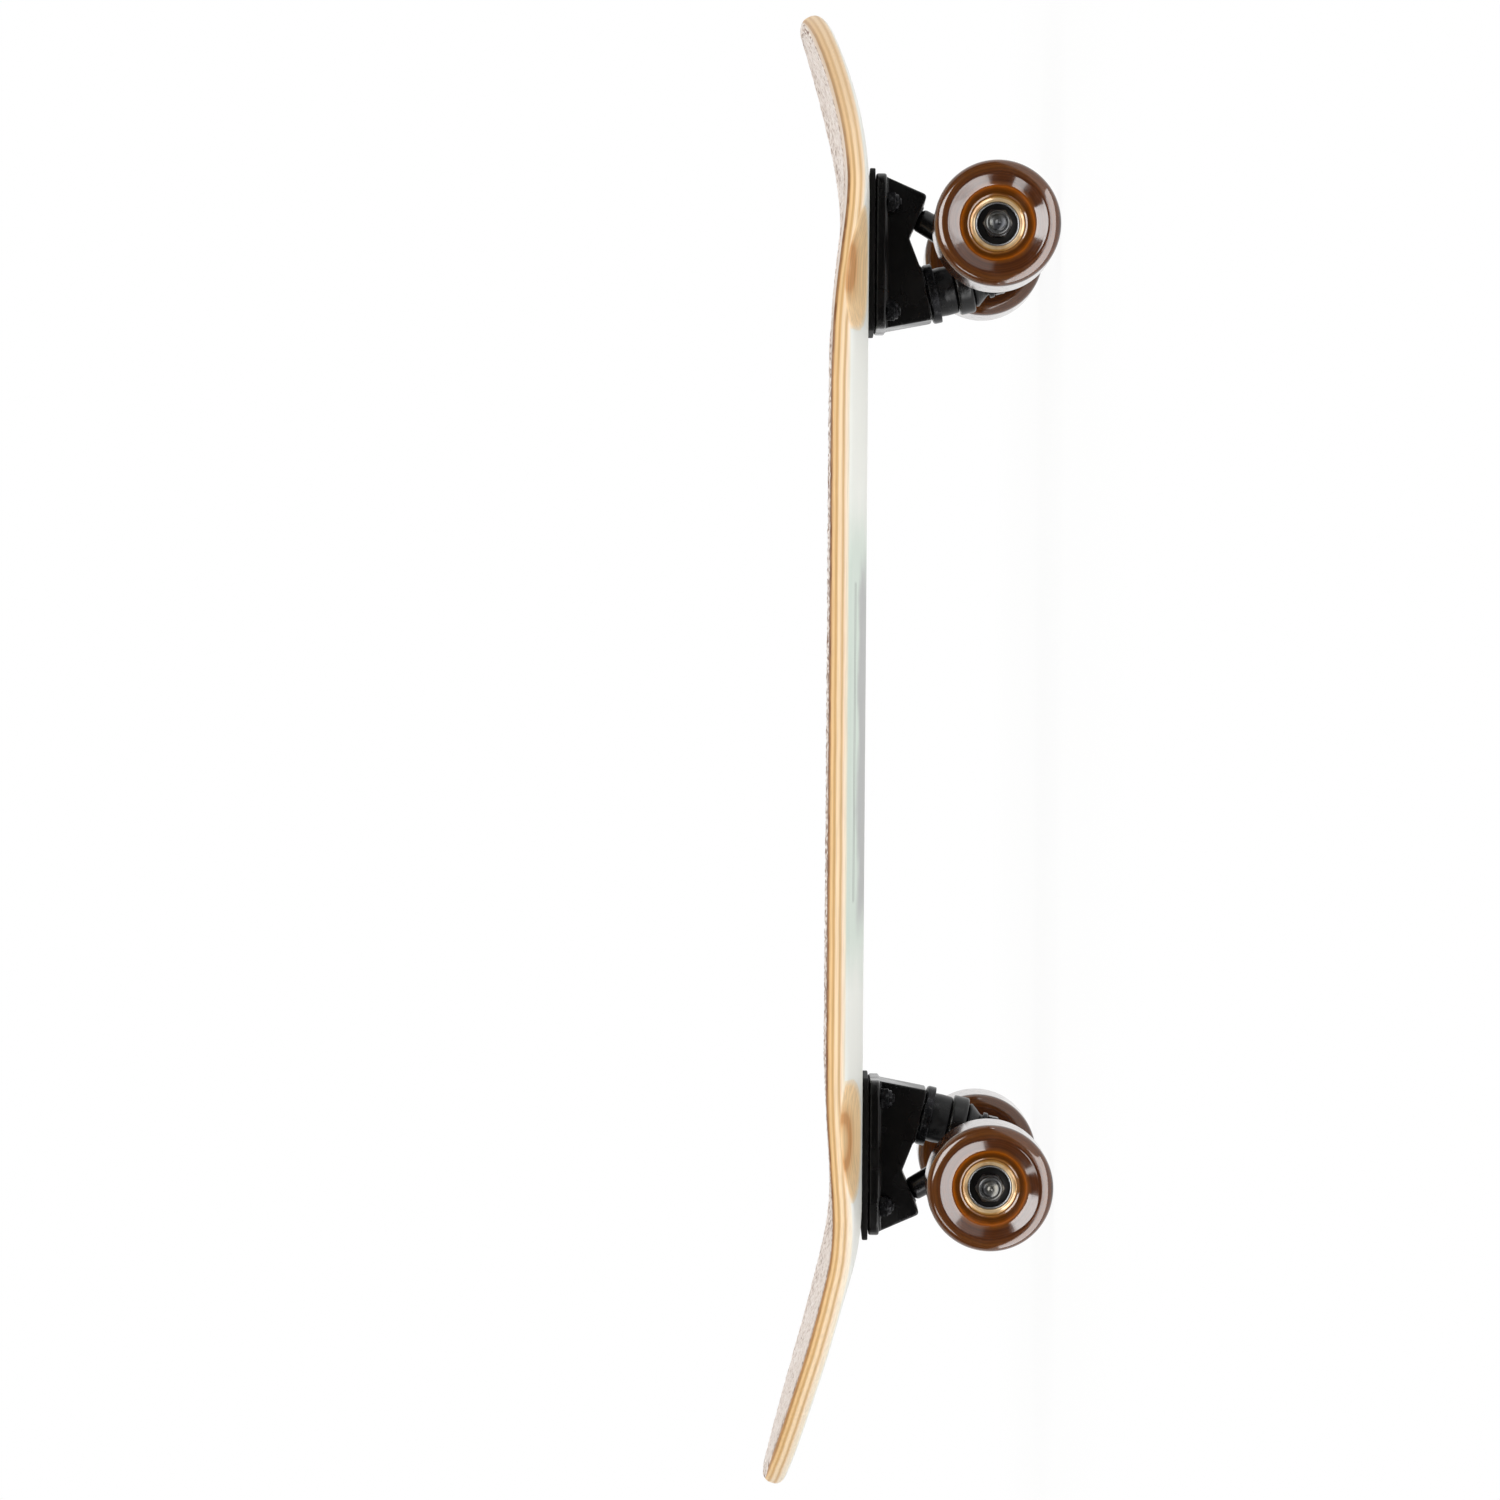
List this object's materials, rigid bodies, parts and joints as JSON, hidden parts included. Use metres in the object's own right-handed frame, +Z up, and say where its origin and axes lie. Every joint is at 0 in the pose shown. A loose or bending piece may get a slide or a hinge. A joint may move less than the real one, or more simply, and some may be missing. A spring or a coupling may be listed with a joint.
{
  "type": "cruiser skateboard",
  "caption": "Kicked maple cruiser deck on kingpin trucks with cushioned steering and free-rolling urethane wheels.",
  "frame": {"origin": "on the floor under the middle of the deck's length and width", "axes": "+X towards the nose, the shorter kick; +Y to the rider's left; +Z up"},
  "size_m": [0.736, 0.21, 0.1402],
  "materials": {
    "maple_plies": "clear lacquered maple edge, printed satin underside",
    "clear_grit": "clear grit on maple",
    "black_rubber": "matt moulded rubber",
    "black_painted_aluminium": "gloss black paint on cast aluminium",
    "charcoal_urethane": "satin cast urethane",
    "black_oxide_steel": "black oxide",
    "zinc_plated_steel": "zinc plated",
    "brown_urethane": "clear brown cast urethane",
    "black_shielded_bearing": "black bearing shield in a steel race"
  },
  "bodies": {
    "deck": {"deck": "maple_plies", "grip": "clear_grit", "front_riser_pad": "black_rubber", "front_baseplate": "black_painted_aluminium", "front_kingpin": "black_oxide_steel", "front_kingpin_nut": "black_oxide_steel", "front_mounting_bolt_1": "black_oxide_steel", "front_mounting_bolt_2": "black_oxide_steel", "front_mounting_bolt_3": "black_oxide_steel", "front_mounting_bolt_4": "black_oxide_steel", "front_mounting_nut_1": "black_oxide_steel", "front_mounting_nut_2": "black_oxide_steel", "front_mounting_nut_3": "black_oxide_steel", "front_mounting_nut_4": "black_oxide_steel", "front_board_cup_washer": "black_oxide_steel", "front_barrel_bushing": "charcoal_urethane", "front_cone_bushing": "charcoal_urethane", "front_road_cup_washer": "black_oxide_steel", "front_pivot_cup": "charcoal_urethane", "rear_riser_pad": "black_rubber", "rear_baseplate": "black_painted_aluminium", "rear_kingpin": "black_oxide_steel", "rear_kingpin_nut": "black_oxide_steel", "rear_mounting_bolt_1": "black_oxide_steel", "rear_mounting_bolt_2": "black_oxide_steel", "rear_mounting_bolt_3": "black_oxide_steel", "rear_mounting_bolt_4": "black_oxide_steel", "rear_mounting_nut_1": "black_oxide_steel", "rear_mounting_nut_2": "black_oxide_steel", "rear_mounting_nut_3": "black_oxide_steel", "rear_mounting_nut_4": "black_oxide_steel", "rear_board_cup_washer": "black_oxide_steel", "rear_barrel_bushing": "charcoal_urethane", "rear_cone_bushing": "charcoal_urethane", "rear_road_cup_washer": "black_oxide_steel", "rear_pivot_cup": "charcoal_urethane"},
    "front_hanger": {"front_hanger": "black_painted_aluminium", "front_axle": "zinc_plated_steel", "front_left_axle_nut": "zinc_plated_steel", "front_right_axle_nut": "zinc_plated_steel", "front_left_bearing_spacer": "zinc_plated_steel", "front_right_bearing_spacer": "zinc_plated_steel"},
    "rear_hanger": {"rear_hanger": "black_painted_aluminium", "rear_axle": "zinc_plated_steel", "rear_left_axle_nut": "zinc_plated_steel", "rear_right_axle_nut": "zinc_plated_steel", "rear_left_bearing_spacer": "zinc_plated_steel", "rear_right_bearing_spacer": "zinc_plated_steel"},
    "front_left_wheel": {"front_left_wheel": "brown_urethane", "front_left_inner_bearing": "black_shielded_bearing", "front_left_outer_bearing": "black_shielded_bearing"},
    "front_right_wheel": {"front_right_wheel": "brown_urethane", "front_right_inner_bearing": "black_shielded_bearing", "front_right_outer_bearing": "black_shielded_bearing"},
    "rear_left_wheel": {"rear_left_wheel": "brown_urethane", "rear_left_inner_bearing": "black_shielded_bearing", "rear_left_outer_bearing": "black_shielded_bearing"},
    "rear_right_wheel": {"rear_right_wheel": "brown_urethane", "rear_right_inner_bearing": "black_shielded_bearing", "rear_right_outer_bearing": "black_shielded_bearing"}
  },
  "joints": [
    {"name": "front_steer", "type": "hinge", "parent": "deck", "child": "front_hanger", "pos_m": [0.23393, 0, 0.04351], "axis": [0.7709, 0, 0.637], "range_deg": [-18, 18], "stiffness_Nm_per_rad": 20, "deforming": ["front_barrel_bushing", "front_cone_bushing", "front_pivot_cup"]},
    {"name": "rear_steer", "type": "hinge", "parent": "deck", "child": "rear_hanger", "pos_m": [-0.18603, 0, 0.04351], "axis": [-0.7709, 0, 0.637], "range_deg": [-18, 18], "stiffness_Nm_per_rad": 20, "deforming": ["rear_barrel_bushing", "rear_cone_bushing", "rear_pivot_cup"]},
    {"name": "front_left_wheel_spin", "type": "hinge", "parent": "front_hanger", "child": "front_left_wheel", "pos_m": [0.25585, 0.0831, 0.0305], "axis": [0, 1, 0], "continuous": true},
    {"name": "front_right_wheel_spin", "type": "hinge", "parent": "front_hanger", "child": "front_right_wheel", "pos_m": [0.25585, -0.0831, 0.0305], "axis": [0, 1, 0], "continuous": true},
    {"name": "rear_left_wheel_spin", "type": "hinge", "parent": "rear_hanger", "child": "rear_left_wheel", "pos_m": [-0.20795, 0.0831, 0.0305], "axis": [0, 1, 0], "continuous": true},
    {"name": "rear_right_wheel_spin", "type": "hinge", "parent": "rear_hanger", "child": "rear_right_wheel", "pos_m": [-0.20795, -0.0831, 0.0305], "axis": [0, 1, 0], "continuous": true}
  ]
}
